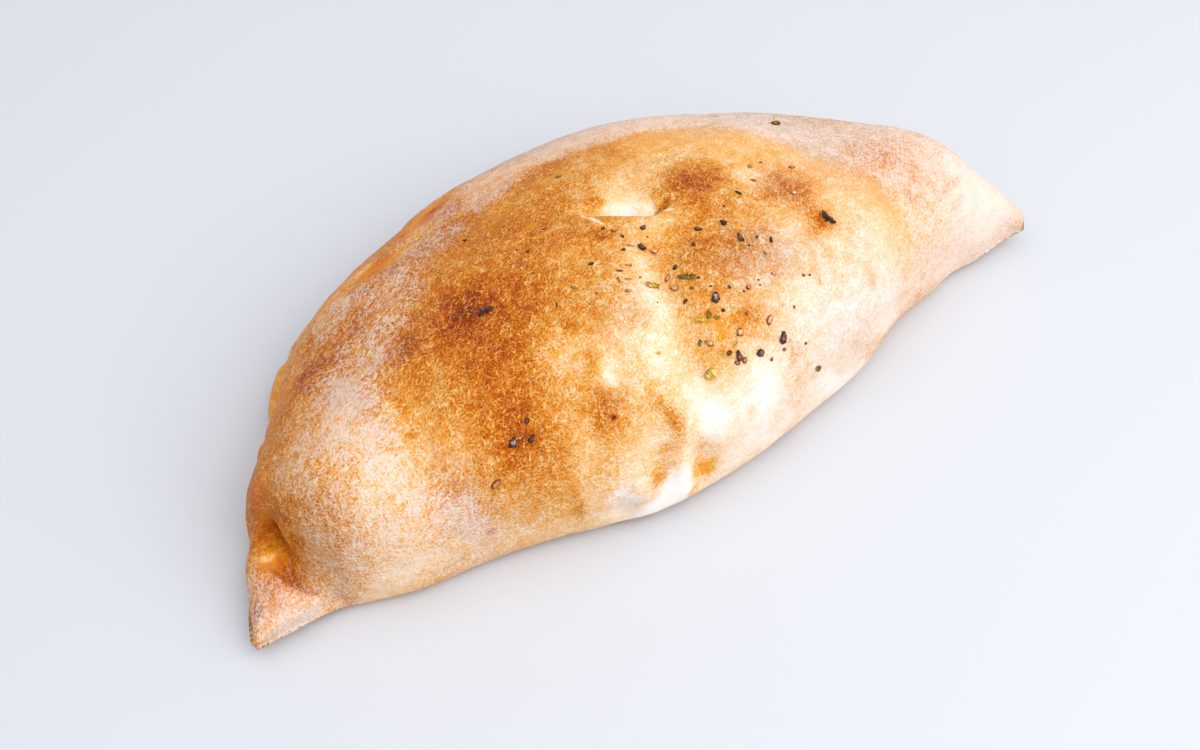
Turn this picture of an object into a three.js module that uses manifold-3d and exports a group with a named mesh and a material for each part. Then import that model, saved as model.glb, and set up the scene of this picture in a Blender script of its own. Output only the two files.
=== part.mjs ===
// A baked calzone: a round of dough folded into a half-moon and rolled shut along its arc.
//
// Frame: millimetres, +Z up. X runs from tail to tip along the fold, Y from the fold to the seam.
// The origin is the middle of the footprint, on the flat base that the calzone rests on.
//
// The crust is one closed loft. Rings stand across the half-moon, each from a point on the fold to
// a point on the seam. Lumps, creases and the rolled seam then move its skin along the normal.
// Seeds, pepper and herb flakes sit half sunk in the skin and are joined to it as one body.

import * as THREE from 'three';
import { mergeVertices } from 'three/addons/utils/BufferGeometryUtils.js';
import Module from 'manifold-3d';

const wasm = await Module();
wasm.setup();

// ---------------------------------------------------------------- driving dimensions

// One row for each ring, from the left tail to the right tail: fold x, y; seam x, y; where the
// crest lies from fold to seam (0 to 1); top height; height of the widest edge; underside height.
const RINGS = [
  [-165.5, -0.5, -166.5, 3, 0.5, 10, 8, 6],
  [-154, -1, -163, 14, 0.5, 15, 9.5, 5],
  [-143, -1.5, -157.5, 25, 0.5, 18, 10, 3.5],
  [-134, -3, -152.5, 33, 0.5, 20, 10.5, 2],
  [-126, -5.5, -149, 42, 0.48, 38, 11, 0.5],
  [-108, -11, -140, 55, 0.46, 48, 11, 0],
  [-84, -14.5, -126, 75, 0.44, 52, 11, 0],
  [-58, -20.5, -100, 101, 0.42, 57, 11, 0],
  [-30, -29, -58, 120.5, 0.42, 63, 11, 0],
  [0, -30.5, -6, 131, 0.42, 67, 11, 0],
  [33, -26.5, 43, 126, 0.42, 66, 11, 0],
  [65, -20, 86, 108.5, 0.42, 60, 11, 0],
  [92, -10.5, 116, 88, 0.43, 52, 11, 0],
  [110, -6, 135, 69, 0.45, 47, 11, 0],
  [126, -2.5, 150, 47, 0.47, 42.5, 10, 1],
  [139, -2.5, 158, 28, 0.5, 31, 9, 3],
  [153, -1, 164, 12, 0.5, 22, 9, 5.5],
  [163, -2, 166, 3, 0.5, 15, 10.5, 8],
];
const LAST_RING = RINGS.length - 1;

// Superellipse powers of a ring: the fold is fuller than the seam, and the base is nearly square.
const FOLD_POWER = 2.5;
const SEAM_POWER = 1.8;
const BASE_POWER = 3.6;
// The underside curve dips this far below the base, which cuts it flat.
const BASE_DIP = 2;

// Soft swellings (+) and hollows (-) of the skin: centre x, y, z; radius along, across, upright;
// turn of "along" from +X in degrees; height.
const LUMPS = [
  [-124, 17, 42, 19, 20, 22, 0, 3.5], // dome over the left tail
  [-145.5, 25.5, 20, 3.2, 3.2, 5, 0, -3.4], // pinched dimple at the foot of the dome
  [-143, 44, 26, 10, 10, 12, 0, 1.2], // fuller skin above the dimple
  [-157, 25, 11, 7, 7, 8, 0, 1.2], // and beside it
  [-127, 74, 12, 6, 10, 12, 0, -1.8], // notch where the seam begins
  [-110, 92, 14, 10, 10, 14, 0, 1.2], // bulges of the far side
  [-38, 112, 36, 35, 14, 16, 28, 1],
  [52, 97, 46, 26, 12, 14, -25, 1.8],
  [130, 42, 42, 14, 14, 14, -60, 2],
  [-96, 14, 50, 10, 36, 40, -20, -1.6], // saddle between dome and body
  [-20, 15, 64, 20, 20, 20, 0, 2], // body left of the valley
  [32, -2, 60, 26, 24, 24, 0, 2], // body right of the valley
  [9, 53, 67, 13, 8, 20, -35, -1.6], // dough sunk behind the tear
  [-13.5, -29.5, 23, 5.5, 9, 11, 0, -3.6], // wrinkles in the flank of the fold
  [-29, -26, 31, 6.5, 10, 11, 0, -2.6],
  [-21, -27, 27, 4.5, 9, 10, 0, 1.6],
  [-37, -26, 24, 5.5, 9, 9, 0, 2.2],
  [-43, -25, 13, 4.5, 8, 9, 0, -2.2],
  [-18, -30, 11, 7, 8, 6, 0, 1.4],
  [-55, 40, 59, 12, 8, 12, 0, -1.2], // scorched hollow
  [62, 10, 62, 7, 5, 8, -30, -1.6], // pit beside the curled flake
  [107, 25, 50, 20, 26, 20, 0, 1.8], // shoulder before the right tail
  [84, 52, 52, 10, 22, 20, 10, -1.4], // saddle before the shoulder
];

// Creases of the skin: the points that each runs through, its half width and its depth.
const CREASES = [
  { // between the left tail and the dome
    points: [[-147, 26, 20], [-147.5, 20, 19], [-146, 12, 19], [-143.5, 3, 17], [-138, -2, 11]],
    width: 3.4,
    depth: 4.2,
  },
  { // valley from the tear down to the wrinkles
    points: [[5, 28, 67], [1, 18, 66], [-5, 6, 64], [-7, -9, 57], [-11, -22, 44]],
    width: 8,
    depth: 2.6,
  },
  { // tear in the top
    points: [[-5.5, 57.5, 66], [-1, 55, 67], [4, 51.5, 67], [9, 47, 67], [13, 43.5, 67], [18, 43, 67]],
    width: 2.6,
    depth: 2.6,
  },
];
const CREASE_STEPS = 8;
// Heights count less than lengths here, so that a crease holds on to the skin above or below it.
const CREASE_HEIGHT_SHARE = 0.35;

// The seam is a soft roll with a groove above it.
const ROLL = { height: 2.4, z: 8.5, halfWidth: 6 };
const GROOVE = { height: -3.2, z: 20, halfWidth: 5.5 };
const SEAM_FROM = [4.2, 6.2]; // ring numbers between which the roll grows
const SEAM_TO = [12.2, 14.5]; // and dies away

// Pleats that notch the roll: ring number and depth of each.
const PLEATS = [
  [5.85, 4.5], [6.75, 2], [7.45, 2.6], [8.1, 1.8], [8.75, 3], [9.3, 2],
  [9.95, 3.2], [10.5, 2.2], [11.2, 3.4], [11.85, 2], [12.5, 3], [13.3, 2.2],
];
const PLEAT = { inset: 7, z: 12, along: 4.2, across: 17, upright: 15 };
const PLEAT_TANGENT_STEP = 0.1; // in ring numbers

// Uneven swell of the whole skin: a crossed wave, and a slanted one half as high.
const SWELL = 0.6;
const CROSS_WAVE = { x: 17, y: 14, shiftX: 1.3, shiftY: 0.7 };
const SLANT_WAVE = { x: 9.5, y: 13, shift: 2.1 };

// The relief fades out between these upward shares of the normal, so that the base stays flat.
const BASE_FADE = [-0.95, -0.3];

// Seeds, pepper and herb flakes: x, y, length, width, turn from +X in degrees.
const FLECKS = [
  [67.3, 12.7, 6.6, 1.9, 109], [-54.5, 39.7, 6, 1.8, 176], [26, -16.1, 4.9, 2.8, 77],
  [9.7, 1.2, 4.3, 3.3, 64], [1.1, 31.1, 4, 2.6, 95], [8, -15.6, 4, 2.6, 81],
  [15.7, -17.2, 3.1, 2.8, 60], [29.8, 24.2, 3.3, 2.3, 110], [20.7, 26.3, 2.9, 1.9, 140],
  [15.6, 21.7, 2, 1.6, 60], [31, 16.2, 4, 2.4, 75], [6.3, 37.6, 2.6, 1.9, 18],
  [40.4, 11.1, 3.2, 1.5, 60], [-70.4, -2.3, 4, 2.6, 50], [-64.8, -4.2, 3.4, 1.9, 40],
  [-63.5, 0.4, 2.6, 1.7, 60], [5.4, 17.8, 2.3, 1.6, 30], [1, 15.9, 4.2, 1.5, 37],
  [0.8, 5.3, 2.5, 1.5, 28], [5.1, -14, 2.2, 1.9, 20], [9.4, -17.2, 2.4, 1.8, 50],
  [-17.7, 33.2, 2.3, 1.6, 155], [-80.3, -7.6, 4.2, 2.3, 40], [23.6, -11.1, 3.9, 2.5, 56],
  [62.6, 26.4, 2.7, 2, 160], [70.3, 37.1, 2.6, 1.6, 160], [44.1, 33.5, 3, 1.7, 120],
  [3.9, 27.7, 2.6, 2.5, 140], [0.5, -8.9, 3.6, 1.8, 123], [11.6, -10.7, 3.2, 2.8, 60],
  [0.4, 11.1, 2.9, 2.2, 140], [6, 12.1, 6.2, 1.9, 142], [-5.6, 15, 5.4, 1.9, 147],
  [-3.3, -15.5, 4.2, 3.4, 30], [38.5, -22.8, 2.6, 2.2, 150], [-52, 92.5, 2.8, 2.2, 40],
  [88, 67, 3.6, 3, 30], [4.7, -2.2, 3.2, 1.5, 60], [1.9, -2.4, 4.2, 1.6, 150],
];
const FLECK_THICKNESS = 0.62; // share of the width
const FLECK_SUNK = 0.2; // share of the thickness below the skin, past the middle
const FLECK_SIDES = 6;
const FLECK_BANDS = 4;
const OVERHEAD = 200; // height from which a fleck is dropped on to the skin

// Mesh of the crust. Most points of a ring are on its top, where the form is.
const RING_COUNT = 80;
const RING_POINTS = 56;
const TOP_SHARE = 40 / 56;
const TAIL_POINT = 1; // how far each end of the loft closes beyond its last ring
const RING_STEP = 0.02; // steps that measure the slope of the loft, in rings
const ANGLE_STEP = 0.01; // and in radians
const MERGE_DISTANCE = 1e-4;

// Middle of the footprint in the frame of the rows above.
const CENTRE = [-0.43, 50.72];

// ---------------------------------------------------------------- curves and surface

// Smooth curve through rows of numbers; t counts rows.
function throughRows(rows, t) {
  const last = rows.length - 1;
  const i = Math.min(Math.max(Math.floor(t), 0), last - 1);
  const f = Math.min(Math.max(t, 0), last) - i;
  const [b, c] = [rows[i], rows[i + 1]];
  const a = i > 0 ? rows[i - 1] : b.map((value, k) => 2 * value - c[k]);
  const d = i < last - 1 ? rows[i + 2] : c.map((value, k) => 2 * value - b[k]);
  return b.map((value, k) => 0.5 * (
    2 * value
    + (c[k] - a[k]) * f
    + (2 * a[k] - 5 * value + 4 * c[k] - d[k]) * f * f
    + (3 * value - a[k] - 3 * c[k] + d[k]) * f * f * f
  ));
}

// Sine or cosine pulled towards a square (power over 2) or a point (under 2).
function superellipse(value, power) {
  return Math.sign(value) * Math.abs(value) ** (2 / power);
}

// Point of the plain loft: ring is a ring number, angle 0 is the seam, 90 degrees the crest,
// 180 the fold and 270 the base.
function loftPoint(ring, angle) {
  const [foldX, foldY, seamX, seamY, crest, top, edge, lift] = throughRows(RINGS, ring);
  const c = Math.cos(angle);
  const s = Math.sin(angle);
  const topPower = c >= 0 ? SEAM_POWER : FOLD_POWER;
  const power = s >= 0 ? topPower : BASE_POWER;
  const across = superellipse(c, power);
  const up = superellipse(s, power);
  const share = across >= 0 ? crest + (1 - crest) * across : crest + crest * across;
  const z = up >= 0 ? edge + (top - edge) * up : edge + (edge - lift + BASE_DIP) * up;
  return new THREE.Vector3(
    foldX + (seamX - foldX) * share,
    foldY + (seamY - foldY) * share,
    Math.max(z, lift, 0),
  );
}

// Outward normal of the plain loft, from two short steps over it.
function loftNormal(ring, angle) {
  const along = loftPoint(ring + RING_STEP, angle).sub(loftPoint(ring - RING_STEP, angle));
  const around = loftPoint(ring, angle + ANGLE_STEP).sub(loftPoint(ring, angle - ANGLE_STEP));
  return around.cross(along).normalize();
}

function smoothStep(value, from, to) {
  const share = Math.min(Math.max((value - from) / (to - from), 0), 1);
  return share * share * (3 - 2 * share);
}

// ---------------------------------------------------------------- relief of the skin

// 1 at the middle of a lump, falling to 0 around it.
function lumpShare(p, [x, y, z, along, across, upright, turn]) {
  const angle = THREE.MathUtils.degToRad(turn);
  const dx = p.x - x;
  const dy = p.y - y;
  const a = (dx * Math.cos(angle) + dy * Math.sin(angle)) / along;
  const b = (dy * Math.cos(angle) - dx * Math.sin(angle)) / across;
  const c = (p.z - z) / upright;
  return Math.exp(-(a * a + b * b + c * c));
}

function band(z, { height, z: middle, halfWidth }) {
  return height * Math.exp(-(((z - middle) / halfWidth) ** 2));
}

function creaseLine({ points }) {
  const steps = (points.length - 1) * CREASE_STEPS;
  const line = [];
  for (let i = 0; i <= steps; i += 1) {
    const [x, y, z] = throughRows(points, i / CREASE_STEPS);
    line.push(new THREE.Vector3(x, y, z * CREASE_HEIGHT_SHARE));
  }
  return line;
}

const creases = CREASES.map((crease) => ({ ...crease, line: creaseLine(crease) }));

function distanceToLine(p, line) {
  const here = new THREE.Vector3(p.x, p.y, p.z * CREASE_HEIGHT_SHARE);
  const nearest = new THREE.Vector3();
  const piece = new THREE.Line3();
  let best = Infinity;
  for (let i = 1; i < line.length; i += 1) {
    piece.set(line[i - 1], line[i]).closestPointToPoint(here, true, nearest);
    best = Math.min(best, nearest.distanceTo(here));
  }
  return best;
}

// A pleat is a narrow hollow that crosses the seam's edge.
function pleatLump([ring, depth]) {
  const [, , x, y] = throughRows(RINGS, ring);
  const [, , x0, y0] = throughRows(RINGS, ring - PLEAT_TANGENT_STEP);
  const [, , x1, y1] = throughRows(RINGS, ring + PLEAT_TANGENT_STEP);
  const tangent = new THREE.Vector2(x1 - x0, y1 - y0).normalize();
  return [
    x + tangent.y * PLEAT.inset, y - tangent.x * PLEAT.inset, PLEAT.z,
    PLEAT.along, PLEAT.across, PLEAT.upright,
    THREE.MathUtils.radToDeg(tangent.angle()), -depth,
  ];
}

const lumps = [...LUMPS, ...PLEATS.map(pleatLump)];

function swell({ x, y }) {
  const crossX = Math.sin(x / CROSS_WAVE.x + CROSS_WAVE.shiftX);
  const crossY = Math.sin(y / CROSS_WAVE.y + CROSS_WAVE.shiftY);
  const slant = Math.sin(x / SLANT_WAVE.x + y / SLANT_WAVE.y + SLANT_WAVE.shift);
  return SWELL * (crossX * crossY + slant / 2);
}

// Height of the skin over the plain loft. It fades out on the flat base.
function relief(p, normal, ring, angle) {
  let height = swell(p);
  for (const row of lumps) {
    height += row[7] * lumpShare(p, row);
  }
  for (const { line, width, depth } of creases) {
    height -= depth * Math.exp(-((distanceToLine(p, line) / width) ** 2));
  }
  const seamSide = Math.sqrt(Math.max(Math.cos(angle), 0));
  const seamLength = smoothStep(ring, ...SEAM_FROM) * (1 - smoothStep(ring, ...SEAM_TO));
  height += (band(p.z, ROLL) + band(p.z, GROOVE)) * seamSide * seamLength;
  return height * smoothStep(normal.z, ...BASE_FADE);
}

function skinPoint(ring, angle) {
  const p = loftPoint(ring, angle);
  const normal = loftNormal(ring, angle);
  const lift = Math.max(throughRows(RINGS, ring)[7], 0);
  p.addScaledVector(normal, relief(p, normal, ring, angle));
  p.z = Math.max(p.z, lift);
  p.x -= CENTRE[0];
  p.y -= CENTRE[1];
  return p;
}

// ---------------------------------------------------------------- crust

function ringAngle(index) {
  const share = index / RING_POINTS;
  if (share < TOP_SHARE) {
    return Math.PI * (share / TOP_SHARE);
  }
  return Math.PI * (1 + (share - TOP_SHARE) / (1 - TOP_SHARE));
}

// The point that closes an end of the loft, just beyond the middle of the end ring.
function tailPoint(points, outward) {
  const middle = new THREE.Vector3();
  points.forEach((p) => middle.addScaledVector(p, 1 / points.length));
  middle.x += outward * TAIL_POINT;
  return middle;
}

function crustGeometry() {
  const points = [];
  for (let i = 0; i < RING_COUNT; i += 1) {
    const ring = (i / (RING_COUNT - 1)) * LAST_RING;
    for (let j = 0; j < RING_POINTS; j += 1) {
      points.push(skinPoint(ring, ringAngle(j)));
    }
  }
  const left = points.length;
  const right = left + 1;
  const lastRing = (RING_COUNT - 1) * RING_POINTS;
  points.push(tailPoint(points.slice(0, RING_POINTS), -1));
  points.push(tailPoint(points.slice(lastRing, left), 1));

  const faces = [];
  for (let j = 0; j < RING_POINTS; j += 1) {
    const next = (j + 1) % RING_POINTS;
    for (let i = 0; i < lastRing; i += RING_POINTS) {
      const [a, b] = [i + j, i + next];
      const [c, d] = [b + RING_POINTS, a + RING_POINTS];
      faces.push(a, b, c, a, c, d);
    }
    faces.push(left, next, j);
    faces.push(right, lastRing + j, lastRing + next);
  }
  const geometry = new THREE.BufferGeometry().setFromPoints(points);
  geometry.setIndex(faces);
  return geometry;
}

// ---------------------------------------------------------------- flecks

const UP = new THREE.Vector3(0, 0, 1);

// A small faceted grain, laid flat on the skin above (x, y) and partly sunk in it.
function fleckGeometry([x, y, length, width, turn], crust) {
  const thickness = width * FLECK_THICKNESS;
  const above = new THREE.Vector3(x - CENTRE[0], y - CENTRE[1], OVERHEAD);
  const [hit] = new THREE.Raycaster(above, new THREE.Vector3(0, 0, -1)).intersectObject(crust);
  const lay = new THREE.Quaternion().setFromUnitVectors(UP, hit.face.normal);
  const spin = new THREE.Quaternion().setFromAxisAngle(UP, THREE.MathUtils.degToRad(turn));
  const grain = new THREE.SphereGeometry(0.5, FLECK_SIDES, FLECK_BANDS);
  grain.rotateX(Math.PI / 2);
  grain.scale(length, width, thickness);
  grain.applyQuaternion(lay.multiply(spin));
  const middle = hit.point.addScaledVector(hit.face.normal, -thickness * FLECK_SUNK);
  return grain.translate(middle.x, middle.y, middle.z);
}

// ---------------------------------------------------------------- joining

function toSolid(geometry) {
  const bare = geometry.clone();
  bare.deleteAttribute('normal');
  bare.deleteAttribute('uv');
  const merged = mergeVertices(bare, MERGE_DISTANCE);
  return new wasm.Manifold(new wasm.Mesh({
    numProp: 3,
    vertProperties: new Float32Array(merged.attributes.position.array),
    triVerts: new Uint32Array(merged.index.array),
  }));
}

function toGeometry(solid) {
  const mesh = solid.getMesh();
  const geometry = new THREE.BufferGeometry();
  geometry.setAttribute('position', new THREE.BufferAttribute(mesh.vertProperties, 3));
  geometry.setIndex(new THREE.BufferAttribute(mesh.triVerts, 1));
  geometry.computeVertexNormals();
  return geometry;
}

function calzoneGeometry() {
  const plain = crustGeometry();
  const crust = new THREE.Mesh(plain, new THREE.MeshBasicMaterial());
  let solid = toSolid(plain);
  for (const row of FLECKS) {
    solid = solid.add(toSolid(fleckGeometry(row, crust)));
  }
  return toGeometry(solid);
}

// ---------------------------------------------------------------- scene

const bakedCrust = new THREE.MeshStandardMaterial({
  color: 0xdf9d50,
  roughness: 0.62,
  metalness: 0,
});

const calzone = new THREE.Mesh(calzoneGeometry(), bakedCrust);
calzone.name = 'calzone';

const group = new THREE.Group();
group.add(calzone);

export default group;
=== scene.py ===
"""Looks of a baked calzone: crust, flour dust, scorch marks, seeds, pepper and herb flakes.

Places and sizes of the calzone are in millimetres, in the frame of the CAD source's rows: X from
tail to tail along the fold, Y from the fold to the seam, Z up. MM and CENTRE bring them into the
row frame, in metres.
"""

import math
import random

import bmesh
import bpy
import numpy as np
from mathutils import Matrix, Vector, noise
from mathutils.bvhtree import BVHTree


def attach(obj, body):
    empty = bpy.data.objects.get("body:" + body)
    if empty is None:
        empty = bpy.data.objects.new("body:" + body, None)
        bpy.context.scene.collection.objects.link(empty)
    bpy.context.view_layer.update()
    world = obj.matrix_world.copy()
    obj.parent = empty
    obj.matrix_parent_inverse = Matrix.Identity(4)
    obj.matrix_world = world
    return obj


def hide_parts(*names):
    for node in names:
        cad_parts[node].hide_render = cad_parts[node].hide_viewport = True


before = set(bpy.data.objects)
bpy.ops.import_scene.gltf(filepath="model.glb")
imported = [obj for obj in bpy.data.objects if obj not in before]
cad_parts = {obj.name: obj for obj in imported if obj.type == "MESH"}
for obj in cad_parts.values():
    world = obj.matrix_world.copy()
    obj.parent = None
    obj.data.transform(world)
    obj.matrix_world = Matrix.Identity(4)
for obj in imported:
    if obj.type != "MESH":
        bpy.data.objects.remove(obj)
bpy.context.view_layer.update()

MM = 0.001
CENTRE = np.array([-0.43, 50.72, 0.0])  # middle of the footprint

# ---------------------------------------------------------------- form of the crust

# One row for each ring, from the left tail to the right tail: fold x, y; seam x, y; where the crest
# lies from fold to seam (0 to 1); top height; height of the widest edge; underside height.
RINGS = np.array([
    (-165.5, -0.5, -166.5, 3, 0.50, 10, 8, 6),
    (-154, -1, -163, 14, 0.50, 15, 9.5, 5),
    (-143, -1.5, -157.5, 25, 0.50, 18, 10, 3.5),
    (-134, -3, -152.5, 33, 0.50, 20, 10.5, 2),
    (-126, -5.5, -149, 42, 0.48, 38, 11, 0.5),
    (-108, -11, -140, 55, 0.46, 48, 11, 0),
    (-84, -14.5, -126, 75, 0.44, 52, 11, 0),
    (-58, -20.5, -100, 101, 0.42, 57, 11, 0),
    (-30, -29, -58, 120.5, 0.42, 63, 11, 0),
    (0, -30.5, -6, 131, 0.42, 67, 11, 0),
    (33, -26.5, 43, 126, 0.42, 66, 11, 0),
    (65, -20, 86, 108.5, 0.42, 60, 11, 0),
    (92, -10.5, 116, 88, 0.43, 52, 11, 0),
    (110, -6, 135, 69, 0.45, 47, 11, 0),
    (126, -2.5, 150, 47, 0.47, 42.5, 10, 1),
    (139, -2.5, 158, 28, 0.50, 31, 9, 3),
    (153, -1, 164, 12, 0.50, 22, 9, 5.5),
    (163, -2, 166, 3, 0.50, 15, 10.5, 8),
])
LAST_RING = len(RINGS) - 1

# Superellipse powers of a ring, and how far its underside curve dips below the flat base.
FOLD_POWER = 2.5
SEAM_POWER = 1.8
BASE_POWER = 3.6
BASE_DIP = 2

# Soft swellings (+) and hollows (-): centre x, y, z; radius along, across, upright; height; and the
# turn of "along" from +X in degrees, if it has one.
LUMPS = [
    (-124, 17, 42, 19, 20, 22, 3.5),  # dome over the left tail
    (-145.5, 25.5, 20, 3.2, 3.2, 5, -3.4),  # pinched dimple at the foot of the dome
    (-143, 44, 26, 10, 10, 12, 1.2),  # fuller skin above the dimple
    (-157, 25, 11, 7, 7, 8, 1.2),  # and beside it
    (-127, 74, 12, 6, 10, 12, -1.8),  # notch where the seam begins
    (-110, 92, 14, 10, 10, 14, 1.2),  # bulges of the far side
    (-38, 112, 36, 35, 14, 16, 1, 28),
    (52, 97, 46, 26, 12, 14, 1.8, -25),
    (130, 42, 42, 14, 14, 14, 2, -60),
    (-96, 14, 50, 10, 36, 40, -1.6, -20),  # saddle between dome and body
    (-20, 15, 64, 20, 20, 20, 2),  # body left of the valley
    (32, -2, 60, 26, 24, 24, 2),  # body right of the valley
    (9, 53, 67, 13, 8, 20, -1.6, -35),  # dough sunk behind the tear
    (-13.5, -29.5, 23, 5.5, 9, 11, -3.6),  # wrinkles in the flank of the fold
    (-29, -26, 31, 6.5, 10, 11, -2.6),
    (-21, -27, 27, 4.5, 9, 10, 1.6),
    (-37, -26, 24, 5.5, 9, 9, 2.2),
    (-43, -25, 13, 4.5, 8, 9, -2.2),
    (-18, -30, 11, 7, 8, 6, 1.4),
    (-55, 40, 59, 12, 8, 12, -1.2),  # scorched hollow
    (62, 10, 62, 7, 5, 8, -1.6, -30),  # pit beside the curled flake
    (107, 25, 50, 20, 26, 20, 1.8),  # shoulder before the right tail
    (84, 52, 52, 10, 22, 20, -1.4, 10),  # saddle before the shoulder
]

# Creases: the points that each runs through, its half width and its depth.
CREASES = [
    # between the left tail and the dome
    ([(-147, 26, 20), (-147.5, 20, 19), (-146, 12, 19), (-143.5, 3, 17), (-138, -2, 11)], 3.4, 4.2),
    # valley from the tear down to the wrinkles
    ([(5, 28, 67), (1, 18, 66), (-5, 6, 64), (-7, -9, 57), (-11, -22, 44)], 8, 2.6),
    # tear in the top
    ([(-5.5, 57.5, 66), (-1, 55, 67), (4, 51.5, 67), (9, 47, 67), (13, 43.5, 67), (18, 43, 67)],
     2.6, 2.6),
]
CREASE_STEPS = 8  # from each point to the next
CREASE_HEIGHT_SHARE = 0.35

# The seam is a soft roll with a groove above it: height, z, half width.
ROLL = (2.4, 8.5, 6)
GROOVE = (-3.2, 20, 5.5)
SEAM_FROM = (4.2, 6.2)  # ring numbers between which the roll grows
SEAM_TO = (12.2, 14.5)  # and dies away

# Pleats that notch the roll: ring number and depth of each.
PLEATS = [
    (5.85, 4.5), (6.75, 2), (7.45, 2.6), (8.1, 1.8), (8.75, 3), (9.3, 2),
    (9.95, 3.2), (10.5, 2.2), (11.2, 3.4), (11.85, 2), (12.5, 3), (13.3, 2.2),
]
PLEAT_INSET = 7
PLEAT_Z = 12
PLEAT_RADII = (4.2, 17, 15)  # along, across, upright
PLEAT_TANGENT_STEP = 0.1  # in ring numbers

# Uneven swell of the whole skin: a crossed wave, and a slanted one half as high.
SWELL = 0.6
CROSS_WAVE = (17, 14, 1.3, 0.7)  # length along x, along y; shifts
SLANT_WAVE = (9.5, 13, 2.1)

# The relief fades out between these upward shares of the normal, so that the base stays flat.
BASE_FADE = (-0.95, -0.3)

# Mesh of the crust. Most points of a ring are on its top, where the form is.
RING_COUNT = 384
RING_POINTS = 248
TOP_SHARE = 0.72
CROWD_STEPS = 2000
CROWD_RING = (0.54, 0.045, 1.6)  # round the tear: where, how wide, how many more points
CROWD_ANGLE = (0.46, 0.07, 1.4)
TAIL_POINT = 1  # how far each end of the loft closes beyond its last ring
RING_STEP = 0.02  # steps for the normal of the loft
ANGLE_STEP = 0.01
TINY = 1e-12


def through_rows(rows, t):
    """Smooth curve through rows of numbers; t counts rows."""
    rows = np.asarray(rows, float)
    rows = np.vstack([2 * rows[0] - rows[1], rows, 2 * rows[-1] - rows[-2]])
    t = np.clip(np.asarray(t, float), 0, len(rows) - 3)
    i = np.minimum(t.astype(int), len(rows) - 4)
    f = (t - i)[..., None]
    a, b, c, d = (rows[i + k] for k in range(4))
    square = 2 * a - 5 * b + 4 * c - d
    cube = 3 * b - a - 3 * c + d
    return 0.5 * (2 * b + (c - a) * f + square * f**2 + cube * f**3)


def curve(corners, steps):
    """Smooth line through the corners, with that many steps from each to the next."""
    spans = len(corners) - 1
    return through_rows(corners, np.linspace(0, spans, spans * steps + 1))


def nearest(points, line):
    """Distance to a line of short pieces, place along it in pieces, and 1 on its left, -1 right."""
    best = np.full(points.shape[:-1], np.inf)
    along, side = np.zeros(best.shape), np.zeros(best.shape)
    for index, (start, end) in enumerate(zip(line[:-1], line[1:])):
        piece, offset = end - start, points - start
        share = np.clip(offset @ piece / (piece @ piece), 0, 1)
        gap = np.linalg.norm(offset - share[..., None] * piece, axis=-1)
        turned = np.sign(piece[0] * offset[..., 1] - piece[1] * offset[..., 0])
        nearer = gap < best
        best = np.where(nearer, gap, best)
        along = np.where(nearer, index + share, along)
        side = np.where(nearer, turned, side)
    return best, along, side


def unit(vectors):
    return vectors / np.maximum(np.linalg.norm(vectors, axis=-1, keepdims=True), TINY)


def smooth_step(value, low, high):
    share = np.clip((value - low) / (high - low), 0, 1)
    return share * share * (3 - 2 * share)


def superellipse(value, power):
    return np.sign(value) * np.abs(value) ** (2 / power)


def loft_point(ring, angle):
    """Plain loft: angle 0 is the seam, 90 degrees the crest, 180 the fold and 270 the base."""
    rows = through_rows(RINGS, ring)
    fold, seam = rows[..., 0:2], rows[..., 2:4]
    crest, top, edge, lift = (rows[..., k] for k in range(4, 8))
    c, s = np.cos(angle), np.sin(angle)
    power = np.where(s >= 0, np.where(c >= 0, SEAM_POWER, FOLD_POWER), BASE_POWER)
    across, up = superellipse(c, power), superellipse(s, power)
    share = np.where(across >= 0, crest + (1 - crest) * across, crest + crest * across)
    flat = fold + (seam - fold) * share[..., None]
    z = np.where(up >= 0, edge + (top - edge) * up, edge + (edge - lift + BASE_DIP) * up)
    return np.concatenate([flat, np.maximum(z, np.maximum(lift, 0))[..., None]], -1)


def loft_normal(ring, angle):
    along = loft_point(ring + RING_STEP, angle) - loft_point(ring - RING_STEP, angle)
    around = loft_point(ring, angle + ANGLE_STEP) - loft_point(ring, angle - ANGLE_STEP)
    return unit(np.cross(around, along))


def spread(dx, dy, along, across=None, turn=0):
    """Square of the distance from the middle of a spot, counted in its radii."""
    across = across or along
    c, s = math.cos(math.radians(turn)), math.sin(math.radians(turn))
    return ((dx * c + dy * s) / along) ** 2 + ((dy * c - dx * s) / across) ** 2


def lump_sum(points, rows):
    x, y, z = np.moveaxis(points, -1, 0)
    total = np.zeros(x.shape)
    for x0, y0, z0, along, across, upright, height, *turn in rows:
        gap = spread(x - x0, y - y0, along, across, *turn) + ((z - z0) / upright) ** 2
        total += height * np.exp(-gap)
    return total


def crease_sum(points, rows):
    """Depth of the creases. Heights count less than lengths for the distance to a crease."""
    squash = np.array([1, 1, CREASE_HEIGHT_SHARE])
    total = np.zeros(points.shape[:-1])
    for corners, half_width, depth in rows:
        gap = nearest(points * squash, curve(corners, CREASE_STEPS) * squash)[0]
        total += depth * np.exp(-((gap / half_width) ** 2))
    return total


def band(z, row):
    height, middle, half_width = row
    return height * np.exp(-(((z - middle) / half_width) ** 2))


def pleat_lump(ring, depth):
    x, y = through_rows(RINGS, ring)[2:4]
    before = through_rows(RINGS, ring - PLEAT_TANGENT_STEP)[2:4]
    after = through_rows(RINGS, ring + PLEAT_TANGENT_STEP)[2:4]
    tangent = (after - before) / np.linalg.norm(after - before)
    turn = math.degrees(math.atan2(tangent[1], tangent[0]))
    middle = (x + tangent[1] * PLEAT_INSET, y - tangent[0] * PLEAT_INSET, PLEAT_Z)
    return (*middle, *PLEAT_RADII, -depth, turn)


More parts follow.
